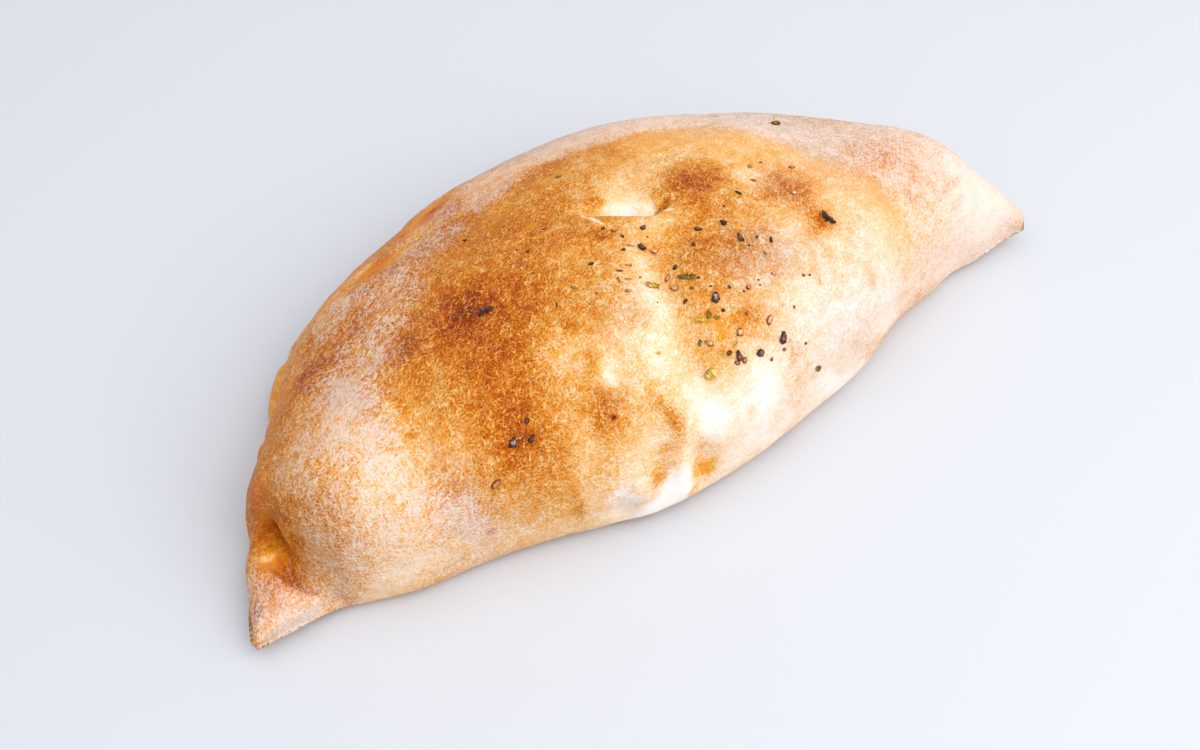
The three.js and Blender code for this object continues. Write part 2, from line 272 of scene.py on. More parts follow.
def swell(points):
    x, y = points[..., 0], points[..., 1]
    length_x, length_y, shift_x, shift_y = CROSS_WAVE
    crossed = np.sin(x / length_x + shift_x) * np.sin(y / length_y + shift_y)
    slant_x, slant_y, shift = SLANT_WAVE
    return SWELL * (crossed + np.sin(x / slant_x + y / slant_y + shift) / 2)


def seam_share(ring, angle):
    """How much of the rolled seam there is: all of it along the arc, none at the tails and fold."""
    side = np.sqrt(np.maximum(np.cos(angle), 0))
    return side * smooth_step(ring, *SEAM_FROM) * (1 - smooth_step(ring, *SEAM_TO))


def broad_relief(points, ring, angle):
    height = swell(points) + lump_sum(points, LUMPS + [pleat_lump(*row) for row in PLEATS])
    height -= crease_sum(points, CREASES)
    z = points[..., 2]
    return height + (band(z, ROLL) + band(z, GROOVE)) * seam_share(ring, angle)


def wavy(points, size, shift=0.0):
    """Smooth noise of that size, from about -1 to 1, at each point."""
    flat = (points / size + shift).reshape(-1, 3)
    return np.array([noise.noise(p) for p in flat]).reshape(points.shape[:-1])


# Fine relief of the visible skin: size and height of each layer of noise.
FINE_RELIEF = [(22, 0.45), (9, 0.3), (4.5, 0.16)]
FINE_SHIFT = 31.7
FINE_SINK = 0.93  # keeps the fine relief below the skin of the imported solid

# Small swellings and hollows, as in LUMPS, and one sharper crease, as in CREASES.
FINE_LUMPS = [
    (-147.3, 27.3, 19, 1.5, 1.5, 3.5, -2.2),  # pit between the left tail and the dome
    (-149.8, 25.4, 17, 2.8, 1.6, 4, 0.8, 30),  # ridge below it
    (-143.5, 33, 22, 4, 4.5, 6, 1.2),  # fuller skin above it
    (-143.6, 25, 21, 2.8, 3.6, 5, 1.6),  # and beside it
    (-69, 91, 44, 7, 4, 8, -0.7, 10),  # hollows along the far side
    (-38, 107, 40, 10, 4, 8, -0.8, 25),
    (-104.5, 78, 37, 6, 5, 8, -0.6, 60),
    (-54, 104, 38, 4, 3, 6, -0.5, 20),
    (-54, 97, 43, 9, 3, 8, 0.6, 20),  # folds between them
    (-80, 97, 38, 9, 4, 8, 0.6, 30),
    (-4.6, 50, 66, 4.4, 0.8, 20, 0.4, -72),  # fold at the left end of the tear
    (17.2, 39.5, 66, 3, 1.4, 20, 0.35, -33),  # thin skin at its right end
    (-43, -27, 22, 10, 7, 8, 1.4),  # eases the hollow of the near flank
]
FINE_CREASES = [
    ([(-146.5, 28, 19), (-146.8, 22, 19), (-146.5, 14, 19), (-145.5, 7, 18), (-142, 1.5, 15)],
     1.1, 1),
]

# The tear: the points that its lip runs through. The skin in front of the lip stands up a little,
# and the bared dough behind it lies lower and rises again.
TEAR_LIP = [(-3.5, 55.2), (-1, 54), (2, 52), (6, 48.9), (10.6, 44.8), (14.2, 41.8), (17, 41.2)]
TEAR_STEPS = 10  # from each point to the next
TEAR_DROP = 1.3
TEAR_RISE = 7  # how far behind the lip the dough has risen again
TEAR_EDGE = 0.5  # half width of the edge of the lip
TEAR_ENDS = (0.34, 0.2)  # shares of the lip's length over which the tear dies away
LIP_HEIGHT = 0.4
LIP_WIDTH = 2.2
LIP_WOBBLE = [(5.0, 1.5), (1.6, 0.7)]  # size and reach of the noise that makes it ragged


def tear_shares(points):
    """Share of the raised lip, and share of the bared dough behind it."""
    level = points * (1, 1, 0)
    flat = points[..., :2] + sum(reach * wavy(level, size)[..., None] for size, reach in LIP_WOBBLE)
    line = curve(TEAR_LIP, TEAR_STEPS)
    gap, along, side = nearest(flat, line)
    behind, along = gap * side, along / (len(line) - 1)
    ends = smooth_step(along, 0, TEAR_ENDS[0]) * (1 - smooth_step(along, 1 - TEAR_ENDS[1], 1))
    step = smooth_step(behind, -TEAR_EDGE, TEAR_EDGE)
    lip = (1 - step) * np.exp(-((np.minimum(behind, 0) / LIP_WIDTH) ** 2))
    bared = step * np.exp(-((np.maximum(behind, 0) / TEAR_RISE) ** 2))
    return ends * lip, ends * bared


def fine_relief(points):
    lip, bared = tear_shares(points)
    height = LIP_HEIGHT * lip - TEAR_DROP * bared - FINE_SINK + lump_sum(points, FINE_LUMPS)
    height -= crease_sum(points, FINE_CREASES)
    for size, amount in FINE_RELIEF:
        height += amount * wavy(points, size, FINE_SHIFT + size)
    return height


def crust_points(ring, angle):
    """Points of the skin, in the frame of the rows above."""
    points = loft_point(ring, angle)
    normal = loft_normal(ring, angle)
    height = broad_relief(points, ring, angle) + fine_relief(points)
    height *= smooth_step(normal[..., 2], *BASE_FADE)
    points = points + normal * height[..., None]
    lift = np.maximum(through_rows(RINGS, ring)[..., 7], 0)
    points[..., 2] = np.maximum(points[..., 2], lift)
    return points


def crowded(share, middle, width, extra):
    """Evenly spaced shares of 0 to 1, drawn together round one place."""
    fine = np.linspace(0, 1, CROWD_STEPS)
    density = 1 + extra * np.exp(-(((fine - middle) / width) ** 2))
    total = np.concatenate([[0], np.cumsum((density[1:] + density[:-1]) / 2)])
    return np.interp(share, total / total[-1], fine)


def crust_grid():
    """Ring number and angle of every grid point."""
    share = np.arange(RING_POINTS) / RING_POINTS
    top = math.pi * crowded(share / TOP_SHARE, *CROWD_ANGLE)
    base = math.pi * (1 + (share - TOP_SHARE) / (1 - TOP_SHARE))
    angle = np.where(share < TOP_SHARE, top, base)
    ring = LAST_RING * crowded(np.linspace(0, 1, RING_COUNT), *CROWD_RING)
    return np.meshgrid(ring, angle, indexing="ij")


def tube_faces(rings, sides):
    """Faces between rings of points, where each ring closes on itself."""
    i, k = np.meshgrid(np.arange(rings - 1), np.arange(sides), indexing="ij")
    a, b = i * sides + k, i * sides + (k + 1) % sides
    return np.stack([a, b, b + sides, a + sides], -1).reshape(-1, 4).tolist()


def crust_faces():
    faces = tube_faces(RING_COUNT, RING_POINTS)
    left = RING_COUNT * RING_POINTS
    last = left - RING_POINTS
    for k in range(RING_POINTS):
        after = (k + 1) % RING_POINTS
        faces += [(left, after, k), (left + 1, last + k, last + after)]
    return faces


def with_tails(values):
    """Values of the grid as one list, with one more for each closing point: its ring's mean."""
    flat = values.reshape(-1, *values.shape[2:])
    return np.concatenate([flat, values[:1].mean(1), values[-1:].mean(1)])


# ---------------------------------------------------------------- colour fields of the crust

# Spots are placed on the unrolled skin: x, and the length around the skin, which is the crest's y
# at the crest and grows towards the seam. A row is x, length around, what it adds to its field in
# hundredths, radius along, radius across if it differs, and the turn of "along" in degrees if it
# has one. Fields go from 0 to 1; those with a level start from it.
BAKE_LEVEL = 0.415
BAKE_SPOTS = [
    # left end
    (-151, 14, 22, 9), (-150, -8, -24, 14, 9), (-150, 4, 8, 8), (-146, 36, 26, 8, 10),
    (-143, 52, 12, 6, 8), (-142, -18, 10, 10, 8), (-141, 22, 10, 4, 12), (-137, 9, -10, 4, 8),
    (-134, 14, 8, 6, 14, 10), (-134, 58, 16, 12, 16), (-134, 70, 5, 10, 14),
    (-134, 82, 20, 7, 8, 30), (-126, 76, 8, 8), (-126, 78, 14, 12, 12, 30), (-122, -24, -10, 14),
    (-114, 34, -9, 6), (-112, -34, -20, 24, 14), (-112, 4, -14, 15, 24), (-104, 36, 7, 5, 6),
    (-104, 68, 28, 17, 9, 10), (-102, 90, 8, 24, 8, 15),
    # left part, far side
    (-85, 76, 10, 6, 4), (-82, 113, 30, 24, 9, 20), (-70, 87, 12, 22, 5, 15),
    (-58, 86, 12, 12, 5, 20), (-56, 113, 24, 24, 8, 20), (-55, 86, 6, 7, 5),
    (-47, 70, 15, 20, 12, 15), (-45, 75, 8, 8, 6), (-45, 86, 10, 9, 6), (-36, 88, 20, 6, 7),
    (-36, 103, 14, 8, 6, 20), (-35, 104, 10, 6, 5), (-34, 66, 8, 10, 8), (-30, 76, -7, 18, 10),
    (-21, 72, 15, 20, 11), (-15, 86, 8, 6, 4),
    # left part, top, with the scorched patch
    (-95, 12, -8, 9, 14), (-86, 0, -8, 5, 8), (-86, 47, 20, 8, 7), (-85, 45, 10, 5, 4),
    (-69, -5, 18, 8, 6), (-68, -10, 16, 9, 8), (-67, 3, 20, 12, 13), (-63, 20, 20, 16, 14),
    (-60, 40, 20, 27, 19), (-58, 46, 32, 14, 8, 15), (-56, 28, 8, 7, 14), (-48, 12, -12, 7, 9),
    (-45, 6, -6, 6, 5), (-43, 23, -10, 7), (-42, 32, 10, 10), (-39, -12, 30, 6), (-36, -12, -8, 6),
    (-36, 5, 12, 3, 4), (-36, 12, -14, 8), (-34, -4, -22, 5, 6), (-31, 16, 8, 6, 5),
    # left part, near flank
    (-78, -34, -8, 12, 14), (-75, -25, -6, 7), (-70, -24, 8, 10, 8), (-62, -25, -5, 8),
    (-59, -20, 14, 4, 9), (-57, -40, 28, 2.2, 7, 15), (-56, -40, -8, 7, 8), (-55, -46, -14, 30, 13),
    (-53, -22, -17, 8, 13), (-42, -45, -20, 6, 11), (-33, -30, -15, 12, 9),
    # middle: pale valley, the flank below it and the dough round the tear
    (-30, -54, 7, 7, 4), (-29.5, -44.5, 28, 3, 3.4), (-28, -62, -24, 12, 7), (-27, -30, -8, 8, 9),
    (-25, -36, 10, 2.4, 2), (-25, -5, 9, 4), (-25, 53, 12, 12, 8), (-24, -50, -22, 7, 10),
    (-22, 42, -7, 10, 7), (-21.5, -26, 34, 9, 2.2, -80), (-19, -5, -28, 14, 15),
    (-17, -63, 20, 2, 4), (-17, -42, -10, 6, 7), (-15, -24, -8, 6, 7), (-15, 5, 14, 4, 5),
    (-13, -56, 26, 4.6), (-13, -45, 6, 3.5, 6), (-11, 45, 12, 8, 4, -30), (-9, 12, -24, 7, 12),
    (-8, -32, -32, 8, 13), (-6, 56, -10, 3, 2, -40), (-3, 26, -22, 5, 8), (5, 15, -6, 4, 6),
    (5, 40, -7, 6, 7), (7, -40, 14, 3), (9, 52, -12, 9, 5, -40), (10, -62, -30, 75, 15),
    (10, -37, -34, 14, 17), (10, 25, -7, 7, 5), (12, 35, -20, 8, 6), (13, -6, -8, 10, 4),
    # right end
    # (102, 78, 8, 8, 12) darkens the far edge of the right end: painted shade
    (94, 54, -16, 14, 28), (100, 34, 8, 9, 6), (102, 78, 8, 8, 12), (105, 22, 7, 9, 20),
    (106, -18, -3.5, 26, 13), (110, 24, 13, 14, 16), (114, -28, -12, 16, 9), (119, 11, 8, 10, 9),
    (120, 50, -10, 16, 12, -40), (140, -4, -20, 30, 50), (152, 12, -6, 12, 14),
    # middle and right part, far side
    (-5, 65, -6, 5, 4), (-3, 90, 14, 12, 6), (0, 85, -7, 9, 5), (4, 66, 7, 5, 4), (4, 95, 10, 5, 4),
    (5, 94, 7, 6, 5), (11, 61, -10, 11, 6, -35), (13, 66, -8, 10, 6), (22, 83, 15, 5, 8),
    (24, 65, -8, 16, 10), (25, 56, -10, 6, 5), (34, 84, 2, 30, 12, -10), (46, 92, -14, 32, 9, -20),
    (58, 60, -12, 26, 17, -20), (64, 60, 6, 8, 6), (70, 100, -12, 40, 16, -30),
    (76, 66, -12, 12, 16, -30),
    # right part, top: the two browned patches and the skin under the seeds
    (20, 15, 20, 13, 11), (24, 4, -7, 7, 6), (25, 18, -6, 12, 10), (26, 2, -8, 7, 5),
    (27, 39, 10, 5, 4), (30, 28, 4, 9, 8), (33.5, 47.5, 26, 10, 8, -30), (36, 46, -4, 6, 5),
    (40, 14, 6, 7, 5), (48, 14, -16, 11), (50, 38, -7, 8, 12), (54, 36, -10, 5), (55, 4, -4, 13, 7),
    (61, 27, 10, 10, 7, -20), (62, 9.5, 12, 3), (65, 13.5, 30, 3.5, 4), (66, 5, -9, 5),
    (74, 40, -10, 7, 5), (77, 14, -16, 10, 16), (80, 30, 2, 24, 36), (87, 4, -8, 6, 10),
    # right part, near flank
    (18, -10, 20, 5, 4), (29, -27, 14, 2, 8), (38, -8, -13, 11, 9), (40, -26, -26, 24, 17),
    (46, -46, -12, 16, 8), (48, -7, 10, 1.5, 4), (50, -46, 12, 4, 3), (58, -52, -16, 24, 12),
    (62, -6, -14, 24, 14), (72, -13, 10, 3, 5), (80, -22, -22, 22, 20), (82, -36, -16, 14, 7),
]

# Small marks with firmer edges, in rows of the same kind.
BAKE_MARKS = [
    (-160.3, 8, 42, 2.6, 3), (-149.5, 24.5, -30, 3.2, 2, 30), (-148.5, 14, 10, 1.6, 6),
    (-147, 28.6, 25, 1.4, 1.8), (-146, 14, 22, 1.6, 10, 4), (-112, 70, 14, 3, 1.4, 30),
    (-104.5, 85, 14, 6, 3, 50), (-100, 24, 20, 1.2, 1.6), (-96, 14, 16, 1.4, 2),
    (-88, 62, 14, 2, 1.4, 20), (-85.6, -32, 50, 1.4, 1.6), (-73, 101, -20, 6, 2, 20),
    (-70, 96.5, 20, 8, 3.6, 10), (-53.5, 110.5, 50, 2, 1.1, 20), (-39.1, -16.2, 45, 1.2, 0.8),
    (-38.4, 113.5, 45, 2.4, 1.1, 20), (-38, 112.5, 20, 10, 3.4, 25), (-36, 17.5, 18, 2.4, 4),
    (-10, 65, 10, 5, 3, 20), (-7, 42, 16, 4, 3), (-4.6, 50, -34, 5, 0.9, -72),
    (1.3, 62, 16, 3, 2.4), (15, 41, 20, 1.6, 0.8, 28), (15.9, 33.6, -20, 2.6, 0.5, 56),
    (17.2, 39.5, -35, 2.7, 1.3, -33), (17.6, 42.2, 30, 5, 1.6, 28), (29.5, 34, 8, 3.6, 7, 10),
    (35.5, 48.5, 20, 11, 8, -12), (52, 41.5, -8, 6, 4), (61, 30, 10, 11, 8, -15),
    (105, 10, 34, 1.6, 2.4), (122, 7, 16, 7, 1.3, 35), (128, 3, 10, 6, 1, 25),
    (129, 10, 13, 8, 1.5, 20),
]

# Skin that is rosy and dull instead of golden.
ROSY_LEVEL = 0.04
ROSY_SPOTS = [
    (-153, -3, 100, 14, 16), (-141.5, 20, -40, 3.5, 9), (-134, 14, 50, 7, 16),
    (-92, -14, 70, 8, 18), (-84, 49, 40, 14, 8), (-76, -30, 25, 12), (-36, -12, 30, 8, 7),
    (-15, 10, 40, 12, 8), (-10, -55, -30, 6), (16, 112, 60, 32, 12), (20, -54, 30, 60, 20),
    (31, 9, 75, 17, 11), (35, 48, 10, 13, 9), (46, 5, 30, 13, 8), (60, -24, 75, 40, 24),
    (62, 30, 80, 12, 9), (74, 84, 90, 40, 18, -30), (76, 4, 35, 8), (90, 50, 80, 14, 30),
    (107, 14, 30, 10, 9), (108, 30, 50, 14, 20), (135, 10, 100, 34, 60),
]

# The golden field is the part without flour: its outline, and how softly it ends there.
GOLDEN_OUTLINE = [
    (-80, -46, 6), (-83, -27, 6), (-88, -15, 7), (-98, 2, 8), (-99, 16, 8), (-97, 30, 8),
    (-90, 44, 10), (-74, 56, 9), (-62, 64, 5), (-58, 75, 5), (-40, 82, 4), (-36, 94, 3),
    (-30, 87, 3), (-12, 91, 3), (0, 97, 3), (12, 93, 3), (22, 91, 3), (34, 89, 3), (44, 85, 3),
    (58, 78, 3), (68, 71, 2.5), (72, 62, 2.5), (77, 52, 2.5), (87, 50, 3), (90, 40, 4), (95, 25, 4),
    (96, 8, 5), (95, -14, 7), (90, -40, 8), (84, -80, 8), (0, -90, 8), (-70, -80, 8),
]
OUTLINE_STEPS = 6
FLOUR_EDGE = (-0.8, 0.8)  # depths in units of that softness between which the flour begins

FLOUR_LEVEL = 0.58
FLOUR_SPOTS = [
    (-152, -6, 20, 14, 12), (-146, 32, -70, 7, 16), (-143, 54, -25, 6, 12),
    (-141.5, 20, -50, 3.5, 9), (-134, 12, -22, 7, 18, -10), (-134, 62, -60, 18, 20),
    (-134, 78, -30, 9, 14, 30), (-124, -18, 10, 10, 14), (-122, 88, -70, 16, 12, 40),
    (-115, 32, 22, 6, 7), (-112, -36, -20, 20, 10), (-108, -22, 10, 14, 12), (-108, 14, 20, 12, 26),
    (-108, 46, 34, 7, 11, 10), (-104.5, 85, -50, 6, 3.5, 50), (-104, 70, -28, 18, 9, 10),
    (-95, 112, -90, 34, 9, 20), (-94, 104, -35, 10, 4, 25), (-92, -18, 30, 5, 18),
    (-86, 92, 10, 10, 7, 10), (-70, 96.5, -30, 8, 4, 10), (-69, 96, -80, 7, 3.5, 10),
    (-60, 108, -30, 26, 8, 20), (-42, 113, -80, 14, 4, 25), (40, 108, 40, 60, 14, -15),
    (112, 27, -2, 12, 13), (130, 30, 12, 34, 40), (140, -5, 30, 20), (150, 8, 35, 14, 20),
]

# Amber: oil under the seeds, the wrinkles' hollows, the left crease and the far side's skin.
OIL_SPOTS = [
    (-148, 29, 60, 4, 5), (-146, 18, 40, 3, 8), (-144, 50, 40, 6, 10), (-134, 68, 42, 11, 20, 15),
    (-126, 84, 35, 6, 12, 30), (-105, 94, 15, 20, 8, 20), (-98, 105, 50, 14, 7, 30),
    (-64, 111, 60, 28, 8, 20), (-50, -36, 15, 7, 12), (-50, -10, 12, 6, 8), (-45, 75, 10, 8, 7),
    (-42, -44, 15, 6, 9), (-32, 78, 36, 28, 14, 8), (-29.5, -44.5, 40, 4, 5),
    (-22.6, 62.8, 90, 1.6, 1.2), (-17, -62, 50, 2, 5), (-13, -44, 15, 4, 5),
    (-11.5, -55.5, 90, 4.4, 4.2), (-3, -19, 30, 3, 2.4), (-2.4, 47.6, 80, 4.6, 0.9, -70),
    (0, -10, 50, 3.5, 4), (3, -5, 65, 4.5, 4), (4, 8, 30, 3.5, 10), (4, 94, 30, 5, 4),
    (6, -11, 35, 5, 3), (12, 28, 25, 6, 3), (17.6, 42, 40, 4, 1.6, 28), (21, 33, 80, 3.4, 0.8, -59),
]

# Skin that is smoother than the rest.
SMOOTH_SPOTS = [
    (-154, 5, 70, 13), (-149, 24, 80, 5, 8), (-143, 38, 60, 6, 8), (-136, 76, 70, 12, 16, 30),
    (-126, 84, 90, 8, 16, 30), (-95, 110, 80, 34, 8, 20), (-85, 104, 70, 14, 10, 20),
    (-69, 96, 90, 7, 3.5, 10), (-42, 113, 80, 16, 5, 25), (-28, -58, 60, 18, 10),
    (-8, -30, 50, 7, 12), (-8, 104, 60, 46, 10), (10, 54, 60, 9, 5, -40), (14, -40, 30, 18, 14),
    (17.2, 39.5, 100, 3, 1.6, -33), (40, 78, 60, 28, 15, -10), (56, 56, 25, 12, 10),
    (74, 44, 45, 20, 26), (94, 8, 40, 16, 24), (124, 14, 55, 34, 50),
]

BARED_PALER = 0.27  # how much less baked the bared dough of the tear is
UNDERSIDE = (0.5, 0.95)  # downward shares of the normal between which the base's colours begin
SPOT_WANDER = [(16, 2.6), (5, 1.3)]  # size and reach of the noise that bends the spots
SPOT_SHIFTS = (3.1, 11.7)


def spot_sum(place, rows, power=1):
    """Sum of spots, each fading from its middle; with power 2 they end more sharply."""
    x, y = np.moveaxis(place, -1, 0)
    total = np.zeros(x.shape)
    for x0, around, hundredths, *radii_and_turn in rows:
        gap = spread(x - x0, y - around, *radii_and_turn)
        total += hundredths / 100 * np.exp(-(gap**power))
    return total


def outline_depth(place):
    """Depth inside the golden outline, in units of its softness there; negative outside."""
    line = curve(GOLDEN_OUTLINE + GOLDEN_OUTLINE[:1], OUTLINE_STEPS)
    gap, along, _ = nearest(place, line[:, :2])
    softness = np.interp(along, np.arange(len(line)), line[:, 2])
    x, y = np.moveaxis(place, -1, 0)
    inside = np.zeros(x.shape, bool)
    for (x0, y0, _), (x1, y1, _) in zip(line[:-1], line[1:]):
        if y0 != y1:
            crossing = x0 + (y - y0) / (y1 - y0) * (x1 - x0)
            inside ^= ((y0 > y) != (y1 > y)) & (x < crossing)
    return np.where(inside, gap, -gap) / softness


def skin_place(points):
    """Place on the unrolled skin: x, and the length around that is the crest's y at the crest."""
    crest = int(RING_POINTS * TOP_SHARE / 2)
    base = int(RING_POINTS * (TOP_SHARE + (1 - TOP_SHARE) / 2))
    steps = np.linalg.norm(np.roll(points, -1, 1) - points, axis=-1)
    around = steps.cumsum(1) - steps
    late = np.arange(RING_POINTS)[None, :] > base
    around = np.where(late, around - steps.sum(1, keepdims=True), around)
    around = around[:, crest:crest + 1] - around + points[:, crest:crest + 1, 1]
    return np.stack([points[..., 0], around], -1)


def crust_fields(points, normal, place):
    """Named fields of the crust, for its material."""
    moved = place.copy()
    for size, reach in SPOT_WANDER:
        for axis, shift in enumerate(SPOT_SHIFTS):
            moved[..., axis] += reach * wavy(points, size, shift + size)
    dusted = smooth_step(-outline_depth(moved), *FLOUR_EDGE)
    marks = spot_sum(place, BAKE_MARKS, power=2) - BARED_PALER * tear_shares(points)[1]
    fields = {
        "bake": BAKE_LEVEL + spot_sum(moved, BAKE_SPOTS) + marks,
        "rosy": ROSY_LEVEL + spot_sum(moved, ROSY_SPOTS),
        "oil": spot_sum(place, OIL_SPOTS),
        "smooth": spot_sum(moved, SMOOTH_SPOTS),
        "flour": dusted * (FLOUR_LEVEL + spot_sum(moved, FLOUR_SPOTS)),
        "under": smooth_step(-normal[..., 2], *UNDERSIDE),
    }
    return {name: np.clip(values, 0, 1) for name, values in fields.items()}


def vertex_normals(points):
    along = np.gradient(points, axis=0)
    around = np.roll(points, -1, 1) - np.roll(points, 1, 1)
    return unit(np.cross(around, along))


def link(thing):
    bpy.context.scene.collection.objects.link(thing)
    return thing


def make_piece(name, vertices, faces, fields, material):
    """Object of one smooth mesh, with its named fields on the points."""
    mesh = bpy.data.meshes.new(name)
    mesh.from_pydata(vertices, [], faces)
    mesh.polygons.foreach_set("use_smooth", [True] * len(faces))
    for field_name, values in fields.items():
        mesh.attributes.new(field_name, "FLOAT", "POINT").data.foreach_set("value", values)
    mesh.update()
    mesh.materials.append(material)
    return link(bpy.data.objects.new(name, mesh))


def make_crust():
    ring, angle = crust_grid()
    points = crust_points(ring, angle)
    vertices = with_tails(points)
    vertices[-2, 0] -= TAIL_POINT
    vertices[-1, 0] += TAIL_POINT
    fields = crust_fields(points, vertex_normals(points), skin_place(points))
    fields = {name: with_tails(values[..., None])[:, 0] for name, values in fields.items()}
    places = ((vertices - CENTRE) * MM).tolist()
    return make_piece("baked_crust", places, crust_faces(), fields, crust_material())


# ---------------------------------------------------------------- material nodes

# The id_data of a socket or node is the tree that it is in.


def linear(red, green, blue):
    """Blender's linear colour for an sRGB colour of 0 to 255."""
    shares = [value / 255 for value in (red, green, blue)]
    return (*(s / 12.92 if s <= 0.04045 else ((s + 0.055) / 1.055) ** 2.4 for s in shares), 1.0)


def new_material(name):
    material = bpy.data.materials.new(name)
    material.use_nodes = True
    tree = material.node_tree
    return material, tree, tree.nodes["Principled BSDF"]


def plug(node, inputs):
    """Links each input of a node to a socket, or sets it to a value."""
    for name, value in inputs.items():
        if isinstance(value, bpy.types.NodeSocket):
            node.id_data.links.new(value, node.inputs[name])
        else:
            node.inputs[name].default_value = value


def add(tree, kind, inputs={}, **settings):
    made = tree.nodes.new(kind)
    for name, value in settings.items():
        setattr(made, name, value)
    plug(made, inputs)
    return made


def field(tree, name):
    return add(tree, "ShaderNodeAttribute", attribute_name=name).outputs["Fac"]


def maths(operation, a, b=0.0, clamp=False):
    made = add(a.id_data, "ShaderNodeMath", {0: a, 1: b}, operation=operation, use_clamp=clamp)
    return made.outputs[0]


def plus(a, b, clamp=False):
    return maths("ADD", a, b, clamp)


def times(a, b):
    return maths("MULTIPLY", a, b)


def remap(value, low, high, to_low=0.0, to_high=1.0):
    inputs = {"Value": value, "From Min": low, "From Max": high, "To Min": to_low,
              "To Max": to_high}
    made = add(value.id_data, "ShaderNodeMapRange", inputs, interpolation_type="SMOOTHSTEP")
    return made.outputs["Result"]


def layered(noises, ranges, *others, join=plus):
    """The named noises, each remapped by its range, joined with each other and with the others."""
    parts = [remap(noises[name], *limits) for name, limits in ranges.items()]
    total, *rest = [*others, *parts]
    for part in rest:
        total = join(total, part)
    return total


def mixed(share, a, b, blend="MIX"):
    inputs = {0: share, 6: a, 7: b}
    made = add(share.id_data, "ShaderNodeMix", inputs, data_type="RGBA", blend_type=blend)
    return made.outputs[2]


def bumped(height, strength, distance):
    inputs = {"Height": height, "Strength": strength, "Distance": distance}
    return add(height.id_data, "ShaderNodeBump", inputs).outputs["Normal"]


def ramp(value, stops):
    made = add(value.id_data, "ShaderNodeValToRGB", {"Fac": value})
    elements = made.color_ramp.elements
    while len(elements) < len(stops):
        elements.new(1.0)
    for element, (place, *colour) in zip(elements, stops):
        element.position = place
        element.color = linear(*colour)
    return made.outputs["Color"]


def speckle(vector, size, detail=2.0, roughness=0.5, distortion=0.0):
    """Noise whose grains are about that size, in metres."""
    inputs = {"Vector": vector, "Scale": 1 / size, "Detail": detail, "Roughness": roughness,
              "Distortion": distortion}
    return add(vector.id_data, "ShaderNodeTexNoise", inputs).outputs["Fac"]


# ---------------------------------------------------------------- crust material

# Stops of the colours: place on the ramp, then red, green and blue of 0 to 255.
BAKE_COLOURS = [
    (0, 251, 245, 238), (0.1, 252, 227, 198), (0.2, 252, 207, 153), (0.31, 247, 185, 104),
    (0.42, 241, 165, 62), (0.53, 233, 144, 34), (0.64, 220, 122, 15), (0.75, 203, 101, 8),
    (0.87, 180, 79, 5), (1, 138, 56, 6),
]
ROSY_COLOURS = [
    (0, 247, 241, 243), (0.15, 236, 217, 211), (0.31, 218, 182, 150), (0.42, 225, 167, 116),
    (0.53, 220, 146, 83), (0.64, 206, 128, 58), (0.75, 186, 106, 34), (1, 132, 58, 20),
]
UNDER_COLOURS = [
    (0.12, 150, 90, 46), (0.3, 194, 130, 72), (0.48, 220, 166, 106), (0.68, 234, 194, 146),
    (0.92, 243, 224, 200),
]
FLOUR_COLOUR = linear(244, 220, 207)
OIL_COLOUR = linear(238, 160, 24)
# painted highlight: the colour of the small glints on the skin's ridges and raised grains
PAINTED_GLINT_COLOUR = linear(255, 214, 140)
# painted shade: the colour that darkens the low skin between the ridges and raised grains
PAINTED_CREVICE_SHADE = linear(226, 190, 158)

# Noises of the crust: size of the grains in metres, detail and roughness.
CRUST_NOISES = {
    "grain": (0.0008, 3, 0.65),
    "mottle": (0.004, 4, 0.6),
    "patch": (0.02, 2, 0.5),
    "haze": (0.006, 3, 0.5),
}
RIDGES = (0.0015, 0.07)  # the skin's fine ridges: size in metres, and width in the noise
STRANDS = (0.002, 0.08)  # the same for the strands that the flour lies in

# Ranges: the noise or field from and to, and what it becomes there.
ROUGH_RANGE = (0, 1, 1, 0.2)  # how rough the skin is, by the field smooth
CRISP_RANGE = (0, 0.6, 0.3, 1.25)  # how uneven its colour is, by the field bake
STRAND_RANGE = (0, 1, -0.16, 0.3)
# the mottle and patch rows are the crust's own uneven browning; the ridge and grain rows make the
# ridges and raised grains paler, a painted highlight
BAKE_AND_HIGHLIGHT_NOISE = {
    "mottle": (0.3, 0.7, -0.11, 0.11),
    "patch": (0.3, 0.7, -0.045, 0.045),
    "ridge": (0, 1, 0.04, -0.13),
    "grain": (0.35, 0.65, 0.06, -0.06),
}
OIL_NOISE = {"mottle": (0.35, 0.65, -0.3, 0.3)}
OIL_OFF_RIDGES = -0.2
# painted highlight: glints go on the ridges and raised grains, fewer where the skin is smooth
PAINTED_GLINT_NOISE = {"ridge": (0.4, 1, 0, 0.55), "grain": (0.46, 0.62, 0, 1)}
# painted shade: where the low skin between the ridges and raised grains is darkened
PAINTED_CREVICE_NOISE = {"ridge": (0, 0.5, 1, 0), "grain": (0.36, 0.56, 0.7, 0)}
FLOUR_NOISE = {"grain": (0.35, 0.65, -0.16, 0.16), "haze": (0.3, 0.7, -0.14, 0.14)}
SCORCH_NOISE = {"patch": (0.22, 0.76, 0, 0.6), "mottle": (0.25, 0.75, 0, 0.4)}
OIL_COVER = (0.2, 0.75, 0, 0.8)
FLOUR_COVER = (0.25, 1.05, 0, 0.85)

BARE_ROUGHNESS = (0.4, 0.4, 0.4, 1)
FLOUR_ROUGHNESS = (0.9, 0.9, 0.9, 1)
CRUST_SPECULAR = 0.15
MOTTLE_HEIGHT = 1.2  # heights in the bump, where the grain's is 1
RIDGE_HEIGHT = 0.2
CRUST_BUMP = (1, 0.001)  # strength, and distance in metres

# The skin's fine ridges and the flour lie in short strokes.
STROKE_TURN = math.radians(-51)
STROKE_STRETCH = (1, 0.6, 1)
BEND_SIZE = 0.012  # of the noise that bends them, and its reach, in metres
BEND_REACH = 0.006


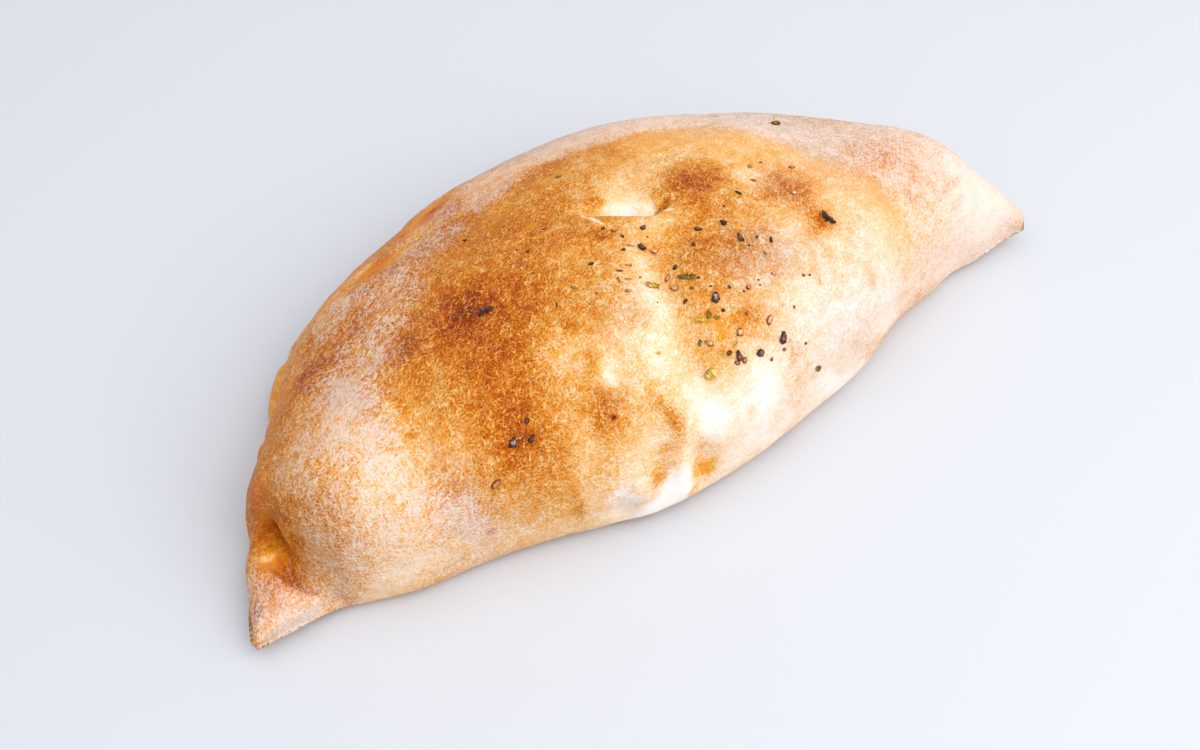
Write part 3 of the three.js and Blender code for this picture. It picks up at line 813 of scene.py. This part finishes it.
def stroke_vector(place):
    """Places bent a little and drawn out, for short strokes that lie across the calzone."""
    tree = place.id_data
    bend = add(tree, "ShaderNodeTexNoise", {"Vector": place, "Scale": 1 / BEND_SIZE, "Detail": 2})
    inputs = {0: bend.outputs["Color"], 1: (BEND_REACH,) * 3, 2: (-BEND_REACH / 2,) * 3}
    offset = add(tree, "ShaderNodeVectorMath", inputs, operation="MULTIPLY_ADD").outputs[0]
    bent = add(tree, "ShaderNodeVectorMath", {0: place, 1: offset}, operation="ADD").outputs[0]
    turned = add(tree, "ShaderNodeMapping", {"Vector": bent, "Rotation": (0, 0, STROKE_TURN)},
                 vector_type="TEXTURE").outputs[0]
    return add(tree, "ShaderNodeMapping", {"Vector": turned, "Scale": STROKE_STRETCH}).outputs[0]


def threads(vector, size, width):
    """Thin curling lines, from 0 between them to 1 on them."""
    lines = speckle(vector, size, detail=1, roughness=0.4, distortion=0.4)
    away = maths("ABSOLUTE", maths("SUBTRACT", lines, 0.5))
    return remap(away, 0, width, 1, 0)


def crust_material():
    material, tree, shader = new_material("baked_crust")
    place = add(tree, "ShaderNodeTexCoord").outputs["Object"]
    strokes = stroke_vector(place)
    noises = {name: speckle(place, *row) for name, row in CRUST_NOISES.items()}
    noises["ridge"] = threads(strokes, *RIDGES)
    rough_skin = remap(field(tree, "smooth"), *ROUGH_RANGE)
    crisp = times(remap(field(tree, "bake"), *CRISP_RANGE), rough_skin)

    # uneven browning, with painted highlight on the ridges and raised grains
    unevenness_and_highlights = times(layered(noises, BAKE_AND_HIGHLIGHT_NOISE), crisp)
    bake = plus(field(tree, "bake"), unevenness_and_highlights, clamp=True)
    golden, rosy = ramp(bake, BAKE_COLOURS), ramp(bake, ROSY_COLOURS)
    colour = mixed(field(tree, "rosy"), golden, rosy)

    off_ridges = times(noises["ridge"], OIL_OFF_RIDGES)
    stain = layered(noises, OIL_NOISE, field(tree, "oil"), off_ridges)
    colour = mixed(remap(stain, *OIL_COVER), colour, OIL_COLOUR)
    # painted highlight: glints mixed into the colour on the ridges and raised grains
    painted_glints = layered(noises, PAINTED_GLINT_NOISE, rough_skin, join=times)
    colour = mixed(painted_glints, colour, PAINTED_GLINT_COLOUR)
    # painted shade: darkens the low skin between the ridges and raised grains
    painted_crevices = layered(noises, PAINTED_CREVICE_NOISE, crisp, join=times)
    colour = mixed(painted_crevices, colour, PAINTED_CREVICE_SHADE, "MULTIPLY")

    strands = remap(threads(strokes, *STRANDS), *STRAND_RANGE)
    strands = times(strands, rough_skin)
    cover = layered(noises, FLOUR_NOISE, field(tree, "flour"), strands)
    floured = remap(cover, *FLOUR_COVER)
    colour = mixed(floured, colour, FLOUR_COLOUR)
    base = ramp(layered(noises, SCORCH_NOISE), UNDER_COLOURS)
    colour = mixed(field(tree, "under"), colour, base)

    height = plus(noises["grain"], times(noises["mottle"], MOTTLE_HEIGHT))
    height = plus(height, times(noises["ridge"], RIDGE_HEIGHT))
    plug(shader, {
        "Base Color": colour,
        "Roughness": mixed(floured, BARE_ROUGHNESS, FLOUR_ROUGHNESS),
        "Specular IOR Level": CRUST_SPECULAR,
        "Normal": bumped(times(height, crisp), *CRUST_BUMP),
    })
    return material


# ---------------------------------------------------------------- seeds, pepper and herbs

# Each row of a flake or seed: x, y, length, width, turn of its length from +X in degrees.
CURLED_FLAKES = [(67.3, 12.7, 6.6, 1.7, 109), (-54.5, 39.7, 6, 1.3, 176)]
DARK_SEEDS = [
    (9.7, 1.2, 4.3, 3.3, 64), (26, -16.1, 4.9, 2.8, 77), (8, -15.6, 4, 2.6, 81),
    (15.7, -17.2, 3.1, 2.8, 60), (1.1, 31.1, 4, 2.5, 95), (29.8, 24.2, 3.3, 2.2, 110),
    (20.7, 26.3, 2.9, 1.8, 140), (15.6, 21.7, 2, 1.5, 60), (31, 16.2, 3.8, 2.2, 75),
    (6.3, 37.6, 2.6, 1.8, 18), (40.4, 11.1, 3.2, 1.3, 60), (-70.4, -2.3, 3.8, 2.5, 50),
    (-64.8, -4.2, 3.4, 1.8, 40), (-63.5, 0.4, 2.6, 1.6, 60), (5.4, 17.8, 2.3, 1.4, 30),
    (0.8, 5.3, 2.5, 1.2, 28), (10, -3.2, 1.4, 1.3, 0), (16.3, 2.2, 1.5, 1.2, 60),
    (10.7, 5.1, 1, 1, 0), (9, 9.7, 1.4, 0.9, 150), (5.1, -14, 2.2, 1.8, 20),
    (36.3, 13.8, 1.8, 1.1, 30), (31.8, 12, 0.9, 0.8, 0), (26.9, 0.2, 0.8, 0.8, 0),
    (26.4, -1.4, 0.7, 0.7, 0), (-4.8, 45.3, 1.5, 1.2, 20), (-1.8, 38.4, 2.3, 1, 95),
    (-5.3, 32.7, 1.9, 1.3, 150), (5.5, 33.8, 0.9, 0.6, 90), (-17.7, 33.2, 2.3, 1.5, 155),
    (-31, 51.6, 1.9, 1.3, 30), (-34.9, 41.8, 0.9, 0.8, 0), (-35.6, 26.3, 2.2, 0.6, 60),
    (-43, 73.5, 1.4, 1.3, 130), (-23.2, 21.4, 0.9, 0.8, 0), (-39.1, -12.6, 1.5, 1, 150),
    (46, -4, 1.5, 0.8, 160), (34.8, 7.2, 0.9, 0.5, 56), (-7.5, 9.4, 0.7, 0.6, 0),
    (61, 43.5, 1.4, 0.9, 160), (35, 30.6, 1, 0.8, 20), (20, -1, 0.9, 0.8, 0),
    (43.6, 33.8, 3, 1.3, 110),
]
TAN_SEEDS = [
    (-80.3, -7.6, 4.2, 2.2, 40), (23.6, -11.1, 3.9, 2.4, 56), (62.6, 26.4, 2.7, 2, 160),
    (70.3, 37.1, 2.6, 1.4, 160), (3.9, 27.7, 2.6, 2.4, 140), (0.5, -8.9, 3.6, 1.7, 123),
    (11.6, -10.7, 3.2, 2.8, 60), (0.4, 11.1, 2.9, 2.1, 140), (1, 15.9, 4.2, 1.3, 37),
    (9.4, -17.2, 2.4, 1.7, 50), (6.3, -16.9, 2.3, 1.5, 120), (19.3, -19.4, 1.6, 1.3, 60),
    (25.2, -18.6, 1.6, 1.3, 150), (33.1, 0.1, 2, 1.5, 150), (22.2, -0.5, 2.1, 1.7, 20),
    (-7.8, 25.7, 2.2, 1.1, 140), (-2.6, 42, 2.4, 1.3, 150), (-20.6, 57.9, 2.3, 0.9, 140),
    (52.8, 37.1, 2.2, 1.2, 150), (-33.1, 55, 1.2, 0.9, 120), (-63, -8, 1.4, 0.9, 40),
    (17, -7, 1.6, 1.2, 20), (-7.5, 19.5, 1, 0.9, 0),
]
HERB_FLAKES = [
    (6, 12.1, 6.2, 1.8, 142), (-6, 15.2, 5.2, 1.8, 147), (4.7, -2.2, 3.2, 1.4, 60),
    (1.9, -2.4, 4.2, 1.4, 150), (6.7, -4, 2.3, 1.2, 140), (13.4, -3.2, 1.5, 1, 30),
    (-3.3, -15.5, 4.2, 3.4, 30), (38.5, -22.8, 2.4, 2, 150), (-52, 92.5, 2.6, 2, 40),
    (88, 67, 3.6, 3, 30), (-14.3, 16.4, 2.2, 1, 140), (-2, -7.3, 2.5, 1, 56),
    (48.3, 27.9, 1.3, 0.7, 150), (30.8, -9.1, 1.4, 0.7, 160), (34.4, -10.7, 1.2, 0.7, 60),
    (43.5, -3.6, 1, 0.9, 0), (34.4, -18.9, 1, 0.9, 0), (-16.7, -4.6, 1.4, 0.9, 140),
    (4.8, 7.6, 1.5, 0.9, 140), (3, -13, 3.6, 1, 145), (56, 43, 1.7, 1.4, 90),
    (-0.9, 79.5, 2.2, 1.3, 150), (-11.9, 24.8, 2.4, 0.7, 140), (-27.8, 28.1, 2.4, 0.8, 130),
]

# Twigs: x, y of both ends and thickness.
HERB_TWIGS = [
    (-3.2, 34.2, 0, 32.2, 0.7), (-4.3, 12.6, -3.9, 15.4, 0.5), (88.5, 68, 95.5, 76, 0.55),
    (-12.8, 20.9, -10.6, 19.7, 0.45), (27, 22.5, 30.5, 20, 0.4), (-14.9, 20.4, -14.1, 22.9, 0.5),
    (7.2, -13.4, 9.3, -12.2, 0.35), (35.2, 8.6, 34.2, 5.4, 0.3),
]

SEED_TAPER = (0.1, 0.5)  # how much narrower one end is, least and most
SEED_LEAN = (-0.35, 0.35)  # where the ridge of the back lies across
SEED_RIDGE = (0.35, 0.22)  # its height and half width
SEED_LIFT = 0.3  # height of its middle above the crust, as a share of its thickness
# painted highlight: on the dark seeds the lighter tint gives the wider ones the grey stops that
# stand for gloss on their tops
TINT_WIDTH = 2.8  # seeds at least this wide are the lightest
TINT_SHARES = (0.6, 0.4)  # of the width, and of chance, in the tint of a seed

LEAF_LENGTH_STEPS = 22
LEAF_WIDTH_STEPS = 10
LEAF_BEND = (-0.5, 0.9)
LEAF_POWER = 2.4  # of its outline: higher is blunter
LEAF_NARROWEST = 0.02
LEAF_THINNING = (0.7, 0.8)  # how much thinner it is at its ends, and at its edges
LEAF_CRINKLE = 0.1
LEAF_ROUNDED = (0.35, 0.8)
LEAF_LIFT = (0.25, 0.12)  # height of its middle: a plain part, and a share of the width

TWIG_SIDES = 8
TWIG_STEPS = 10
TWIG_WAVE = 0.25  # how high its middle line lies, and how far it wanders from there
SHIFTS = (-50, 50)  # of the noise, so that each flake has its own


def resting(ground, x, y, turn, lift):
    """Matrix that lays a flake on the crust at x, y: its Z along the skin's normal, its X turned
    from +X; in the row frame, in metres."""
    above = Vector((x, y, 0)) * MM - Vector(CENTRE) * MM
    above.z = 1.0
    place, normal, _, _ = ground.ray_cast(above, Vector((0, 0, -1)))
    direction = Vector((math.cos(math.radians(turn)), math.sin(math.radians(turn)), 0))
    side = normal.cross(direction).normalized()
    rows = Matrix((side.cross(normal), side, normal)).transposed()
    return Matrix.Translation(place + normal * lift * MM) @ rows.to_4x4()


def unit_ball(subdivisions):
    ball = bmesh.new()
    bmesh.ops.create_icosphere(ball, subdivisions=subdivisions, radius=1)
    points = [v.co.copy() for v in ball.verts]
    faces = [[v.index for v in f.verts] for f in ball.faces]
    ball.free()
    return points, faces


BALL_POINTS, BALL_FACES = unit_ball(3)


def seed_shape(row, rng, crumple, thickness):
    """Crumpled seed as long and wide as the row says: one end narrower, a ridge along its back."""
    _, _, length, width, _ = row
    shift = Vector([rng.uniform(*SHIFTS) for _ in range(3)])
    taper = rng.uniform(*SEED_TAPER)
    lean = rng.uniform(*SEED_LEAN)
    ridge_height, ridge_width = SEED_RIDGE
    out = []
    for p in BALL_POINTS:
        broad, fine = noise.noise(p * 1.4 + shift), noise.noise(p * 3 + shift)
        q = p * (1 + crumple * (broad + fine / 2))
        ridge = ridge_height * math.exp(-(((p.y - lean) / ridge_width) ** 2))
        up = q.z * (1 - taper * p.x / 2) + ridge * max(p.z, 0) * (1 - p.x * p.x)
        point = Vector((q.x * length, q.y * (1 - taper * p.x) * width, up * thickness * width)) / 2
        out.append((point, math.hypot(p.x, p.y)))
    fit_x = length / 2 / max(abs(point.x) for point, _ in out)
    fit_y = width / 2 / max(abs(point.y) for point, _ in out)
    points = [(point * Vector((fit_x, fit_y, fit_y)), rim) for point, rim in out]
    by_width, by_chance = TINT_SHARES
    tint = min(width / TINT_WIDTH, 1) * by_width + rng.random() * by_chance
    return points, width * thickness * SEED_LIFT, tint


def leaf_shape(row, rng, curls, jag, thickness):
    """Two skins of a pointed leaf that is rolled across and bent along."""
    _, _, length, width, _ = row
    curl = rng.uniform(*curls)
    shift = rng.uniform(*SHIFTS)
    bend = rng.uniform(*LEAF_BEND) / length
    flip = rng.choice((-1, 1))
    rounded = rng.uniform(*LEAF_ROUNDED)
    at_ends, at_edges = LEAF_THINNING
    points = []
    for skin in (1, -1):
        for i in range(LEAF_LENGTH_STEPS + 1):
            u = 2 * i / LEAF_LENGTH_STEPS - 1
            reach = width / 2 * max(1 - abs(u) ** LEAF_POWER, LEAF_NARROWEST) ** rounded
            for j in range(LEAF_WIDTH_STEPS + 1):
                v = 2 * j / LEAF_WIDTH_STEPS - 1
                ragged = 1 + jag * noise.noise(Vector((u * 5 + shift, v * 0.8, 3.3)))
                radius = reach * ragged / max(math.sin(min(curl, 1.3)), 0.3)
                thin = (1 - at_ends * u * u) * (1 - at_edges * v * v)
                outer = radius + thickness / 2 * skin * thin
                crinkle = noise.noise(Vector((u * 3.1 + shift, v * 2.2, 7.7)))
                up = flip * (outer * math.cos(v * curl) - radius * math.cos(curl))
                up += LEAF_CRINKLE * width * crinkle
                x = u * length / 2
                points.append((Vector((x, outer * math.sin(v * curl), up + bend * x * x)), abs(v)))
    plain, share = LEAF_LIFT
    return points, plain + share * width, rng.random()


def leaf_faces():
    row = LEAF_WIDTH_STEPS + 1
    skin = row * (LEAF_LENGTH_STEPS + 1)
    faces = []
    for i in range(LEAF_LENGTH_STEPS):
        for j in range(LEAF_WIDTH_STEPS):
            a = i * row + j
            quad = (a, a + 1, a + row + 1, a + row)
            faces.append(quad)
            faces.append(tuple(k + skin for k in reversed(quad)))
    rim = list(range(row))
    rim += [i * row + row - 1 for i in range(1, LEAF_LENGTH_STEPS + 1)]
    rim += [LEAF_LENGTH_STEPS * row + j for j in range(row - 2, -1, -1)]
    rim += [i * row for i in range(LEAF_LENGTH_STEPS - 1, 0, -1)]
    for a, b in zip(rim, rim[1:] + rim[:1]):
        faces.append((b, a, a + skin, b + skin))
    return faces


def twig_row(x0, y0, x1, y1, thickness):
    """A twig as a row like that of a seed."""
    turn = math.degrees(math.atan2(y1 - y0, x1 - x0))
    return (x0 + x1) / 2, (y0 + y1) / 2, math.hypot(x1 - x0, y1 - y0), thickness, turn


def twig_shape(row, rng):
    """Bent, slightly knotty stem along X."""
    _, _, length, thickness, _ = row
    shift = rng.uniform(*SHIFTS)
    points = []
    for i in range(TWIG_STEPS + 1):
        u = i / TWIG_STEPS
        sway, rise = (TWIG_WAVE * noise.noise(Vector((u * 2, shift, at))) for at in (0, 9))
        middle = Vector(((u - 0.5) * length, sway, TWIG_WAVE + rise))
        girth = thickness / 2 * (0.8 + 0.35 * noise.noise(Vector((u * 5, shift, 4))))
        girth *= min(1.0, 0.5 + 4 * min(u, 1 - u))
        for k in range(TWIG_SIDES):
            angle = 2 * math.pi * k / TWIG_SIDES
            points.append((middle + girth * Vector((0, math.cos(angle), math.sin(angle))), u))
    return points, thickness / 2, rng.random()


def twig_faces():
    end = list(range(TWIG_SIDES))
    far_end = [TWIG_STEPS * TWIG_SIDES + k for k in end]
    return [end[::-1], *tube_faces(TWIG_STEPS + 1, TWIG_SIDES), far_end]


def make_flakes(name, ground, rows, seed, shape, faces, details, material):
    """One mesh of all flakes of a kind. The shape function gives a flake's points, each with its
    share of the rim, how high its middle lies above the crust, and its tint."""
    rng = random.Random(seed)
    vertices, all_faces, rims, tints = [], [], [], []
    for row in rows:
        points, lift, tint = shape(row, rng, *details)
        matrix = resting(ground, row[0], row[1], row[4], lift)
        start = len(vertices)
        vertices += [tuple(matrix @ (p * MM)) for p, _ in points]
        all_faces += [tuple(k + start for k in face) for face in faces]
        rims += [rim for _, rim in points]
        tints += [tint] * len(points)
    piece = make_piece(name, vertices, all_faces, {"rim": rims, "tint": tints}, material)
    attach(piece, "root")


FLAKE_MOTTLE = (0.3, 0.7, -0.22, 0.22)  # the noise from and to, and what it adds to the level
TINT_RANGE = (0, 1, 0.15, 0.85)
RIM_FROM = 0.45
SHEEN = (-0.08, 0.12)  # how far the roughness wanders
FLAKE_SPECULAR = 0.3
FLAKE_BUMP = (0.8, 0.0003)  # strength, and distance in metres


def flake_material(name, stops, roughness, size, rim_share):
    """Mottled colours; the rim and the flake's own tint shift them along the stops. A seed's darker
    rim and lighter top are partly its own colouring, partly painted shade and painted highlight.
    """
    material, tree, shader = new_material(name)
    place = add(tree, "ShaderNodeTexCoord").outputs["Object"]
    spots = speckle(place, size, detail=4, roughness=0.6)
    tint = remap(field(tree, "tint"), *TINT_RANGE)
    level = plus(remap(spots, *FLAKE_MOTTLE), tint)
    # darker rim: partly the flake's own edge, partly painted shade on a seed's sides and painted
    # highlight on its top
    rim = remap(field(tree, "rim"), RIM_FROM, 1, 0, rim_share)
    level = maths("SUBTRACT", level, rim, clamp=True)
    sheen = [roughness + wander for wander in SHEEN]
    fine = speckle(place, size / 3, detail=3, roughness=0.6)
    plug(shader, {
        "Base Color": ramp(level, stops),
        "Roughness": remap(spots, *FLAKE_MOTTLE[:2], *sheen),
        "Specular IOR Level": FLAKE_SPECULAR,
        "Normal": bumped(fine, *FLAKE_BUMP),
    })
    return material


CURLED_COLOURS = [(0, 10, 8, 8), (0.5, 22, 18, 18), (1, 58, 48, 44)]
# painted highlight: the upper, grey stops stand for the gloss on the tops of the dark seeds
DARK_COLOURS = [
    (0, 44, 16, 6), (0.25, 112, 50, 18), (0.45, 82, 44, 30), (0.7, 104, 84, 78),
    (1, 176, 166, 168),
]
TAN_COLOURS = [(0, 104, 46, 14), (0.4, 176, 104, 52), (0.7, 222, 162, 110), (1, 244, 208, 168)]
HERB_COLOURS = [
    (0, 84, 56, 10), (0.3, 154, 110, 24), (0.5, 194, 150, 40), (0.75, 214, 180, 66),
    (1, 234, 214, 140),
]
TWIG_COLOURS = [(0, 62, 40, 18), (0.5, 150, 110, 50), (1, 246, 232, 196)]

# Kinds of flakes: rows, seed of the random numbers, shape function and faces; details of the shape;
# then colours, roughness, size of the mottling in metres, and how far the rim is darker. Details of
# a seed are crumple and thickness, as shares of its size and width. Those of a leaf are least and
# most curl in radians, how ragged its edge is, and its thickness.
KINDS = {
    "curled_flakes": (CURLED_FLAKES, 1, leaf_shape, leaf_faces(), ((1.2, 1.7), 1, 0.35),
                      CURLED_COLOURS, 0.28, 0.0012, 0),
    "dark_seeds": (DARK_SEEDS, 2, seed_shape, BALL_FACES, (0.6, 0.6),
                   DARK_COLOURS, 0.3, 0.0008, 0.75),
    "tan_seeds": (TAN_SEEDS, 3, seed_shape, BALL_FACES, (0.2, 0.45),
                  TAN_COLOURS, 0.36, 0.0012, 0.55),
    "herb_flakes": (HERB_FLAKES, 4, leaf_shape, leaf_faces(), ((0.5, 1.2), 0.9, 0.25),
                    HERB_COLOURS, 0.5, 0.0012, 0.2),
    "herb_twigs": ([twig_row(*ends) for ends in HERB_TWIGS], 5, twig_shape, twig_faces(), (),
                   TWIG_COLOURS, 0.6, 0.0012, 0),
}


def make_toppings(crust):
    ground = BVHTree.FromPolygons([v.co for v in crust.data.vertices],
                                  [tuple(f.vertices) for f in crust.data.polygons])
    for name, (*placing, colours, roughness, size, rim_share) in KINDS.items():
        material = flake_material(name, colours, roughness, size, rim_share)
        make_flakes(name, ground, *placing, material)


# ---------------------------------------------------------------- stage

# Camera in millimetres and degrees; clip range, floor and lamps in metres.
CAMERA_PLACE = (-187.65, -275.56, 410.08)
CAMERA_TARGET = (-12.08, -15.77, 0)
CAMERA_ROLL = 0.564
FOCAL_LENGTH = 42
SENSOR_WIDTH = 36
CLIP_RANGE = (0.01, 20)
FLOOR_SIZE = 12.0
FLOOR_DROP = 0.0003
FLOOR_COLOUR = linear(206, 209, 216)
FLOOR_ROUGHNESS = 0.55

# Lamps: name, place, size, power in watts and colour.
LAMPS = [
    ("key", (0.55, -0.85, 1.0), 1.4, 17.1, (1.0, 0.98, 0.95)),
    ("top", (-0.2, 0.1, 1.3), 1.4, 6.0, (1.0, 1.0, 1.0)),
]
SKY_COLOUR = (0.94, 0.96, 1.0, 1)
SKY_STRENGTH = 0.65


def floor_material():
    material, tree, shader = new_material("floor")
    plug(shader, {"Base Color": FLOOR_COLOUR, "Roughness": FLOOR_ROUGHNESS})
    return material


def make_floor():
    half, z = FLOOR_SIZE / 2, -FLOOR_DROP
    corners = [(-half, -half, z), (half, -half, z), (half, half, z), (-half, half, z)]
    make_piece("floor", corners, [(0, 1, 2, 3)], {}, floor_material())


def make_camera():
    data = bpy.data.cameras.new("camera")
    data.lens, data.sensor_width = FOCAL_LENGTH, SENSOR_WIDTH
    data.clip_start, data.clip_end = CLIP_RANGE
    camera = link(bpy.data.objects.new("camera", data))
    place, target = Vector(CAMERA_PLACE) * MM, Vector(CAMERA_TARGET) * MM
    level = (target - place).to_track_quat("-Z", "Y").to_matrix().to_4x4()
    roll = Matrix.Rotation(math.radians(CAMERA_ROLL), 4, "Z")
    camera.matrix_world = Matrix.Translation(place) @ level @ roll
    bpy.context.scene.camera = camera


def make_light(name, place, size, power, colour):
    data = bpy.data.lights.new(name, "AREA")
    data.shape, data.size = "SQUARE", size
    data.energy, data.color = power, colour
    lamp = link(bpy.data.objects.new(name, data))
    lamp.location = place
    lamp.rotation_euler = (-Vector(place)).to_track_quat("-Z", "Y").to_euler()


def make_lighting():
    for lamp in LAMPS:
        make_light(*lamp)
    world = bpy.data.worlds.new("studio")
    bpy.context.scene.world = world
    world.use_nodes = True
    sky = world.node_tree.nodes["Background"]
    plug(sky, {"Color": SKY_COLOUR, "Strength": SKY_STRENGTH})
    bpy.context.scene.view_settings.view_transform = "Standard"


# ---------------------------------------------------------------- assembly

make_camera()
make_floor()
make_lighting()

crust = make_crust()
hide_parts("calzone")
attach(crust, "root")
make_toppings(crust)
